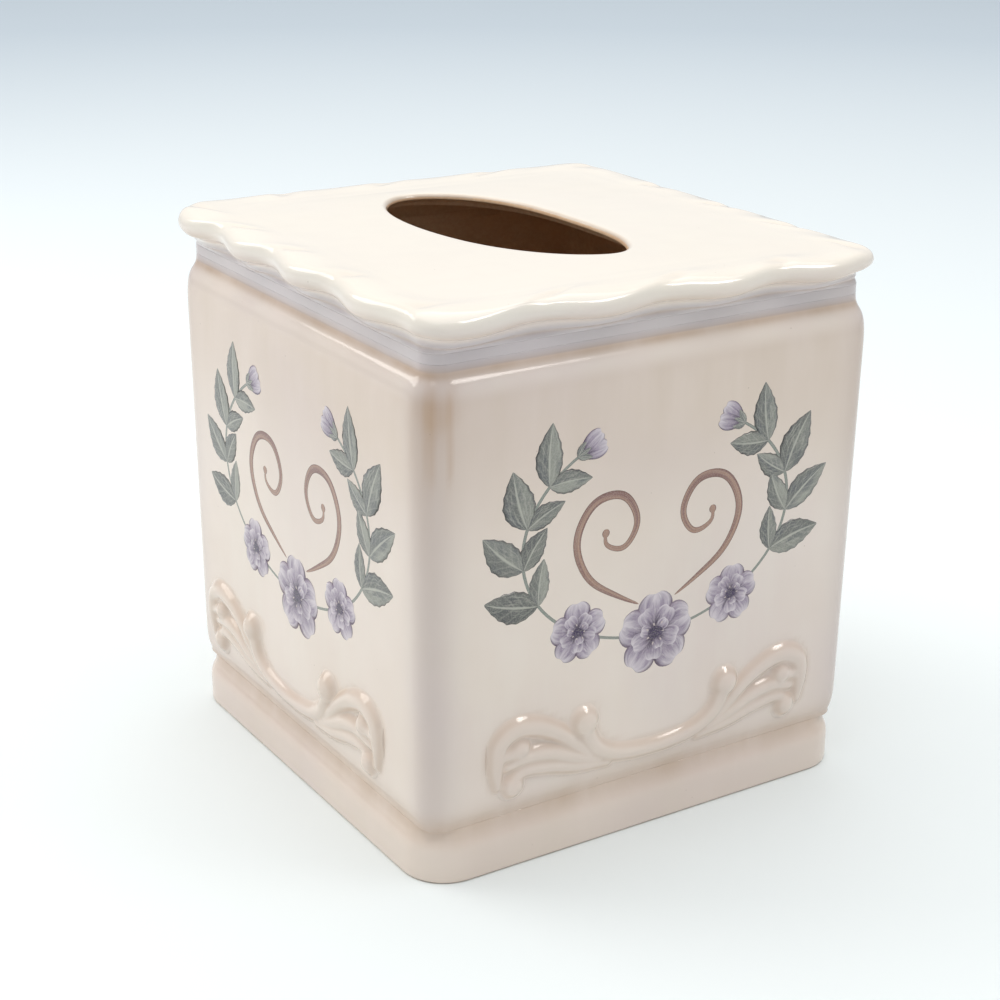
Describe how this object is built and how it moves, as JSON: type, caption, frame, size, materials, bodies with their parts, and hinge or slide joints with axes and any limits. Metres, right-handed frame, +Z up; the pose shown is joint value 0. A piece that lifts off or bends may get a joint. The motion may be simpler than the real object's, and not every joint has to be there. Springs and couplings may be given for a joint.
{
  "type": "tissue box cover",
  "caption": "Square open-bottomed glazed ceramic cover for a cube tissue box, with a scalloped rim, an oval dispensing opening, raised scrollwork and a printed garland on each face.",
  "frame": {"origin": "middle of the footprint, on the plane of the foot", "axes": "+Z up through the opening, -Y out of the front face, +X to the right seen from the front; the oval opening's long axis runs nearly along Y"},
  "size_m": [0.1452, 0.1454, 0.1521],
  "materials": {
    "ivory_glaze": "glossy ivory glaze over earthenware, pooled a little darker in the grooves",
    "fired_print": "fired ceramic transfer in lavender, grey-green and brown under a thin gloss"
  },
  "bodies": {
    "root": {"top_plate": "ivory_glaze", "neck_collar": "ivory_glaze", "body_wall": "ivory_glaze", "plinth_ring": "ivory_glaze", "relief_front": "ivory_glaze", "relief_right": "ivory_glaze", "relief_back": "ivory_glaze", "relief_left": "ivory_glaze", "print_front": "fired_print", "print_right": "fired_print", "print_back": "fired_print", "print_left": "fired_print"}
  },
  "joints": []
}
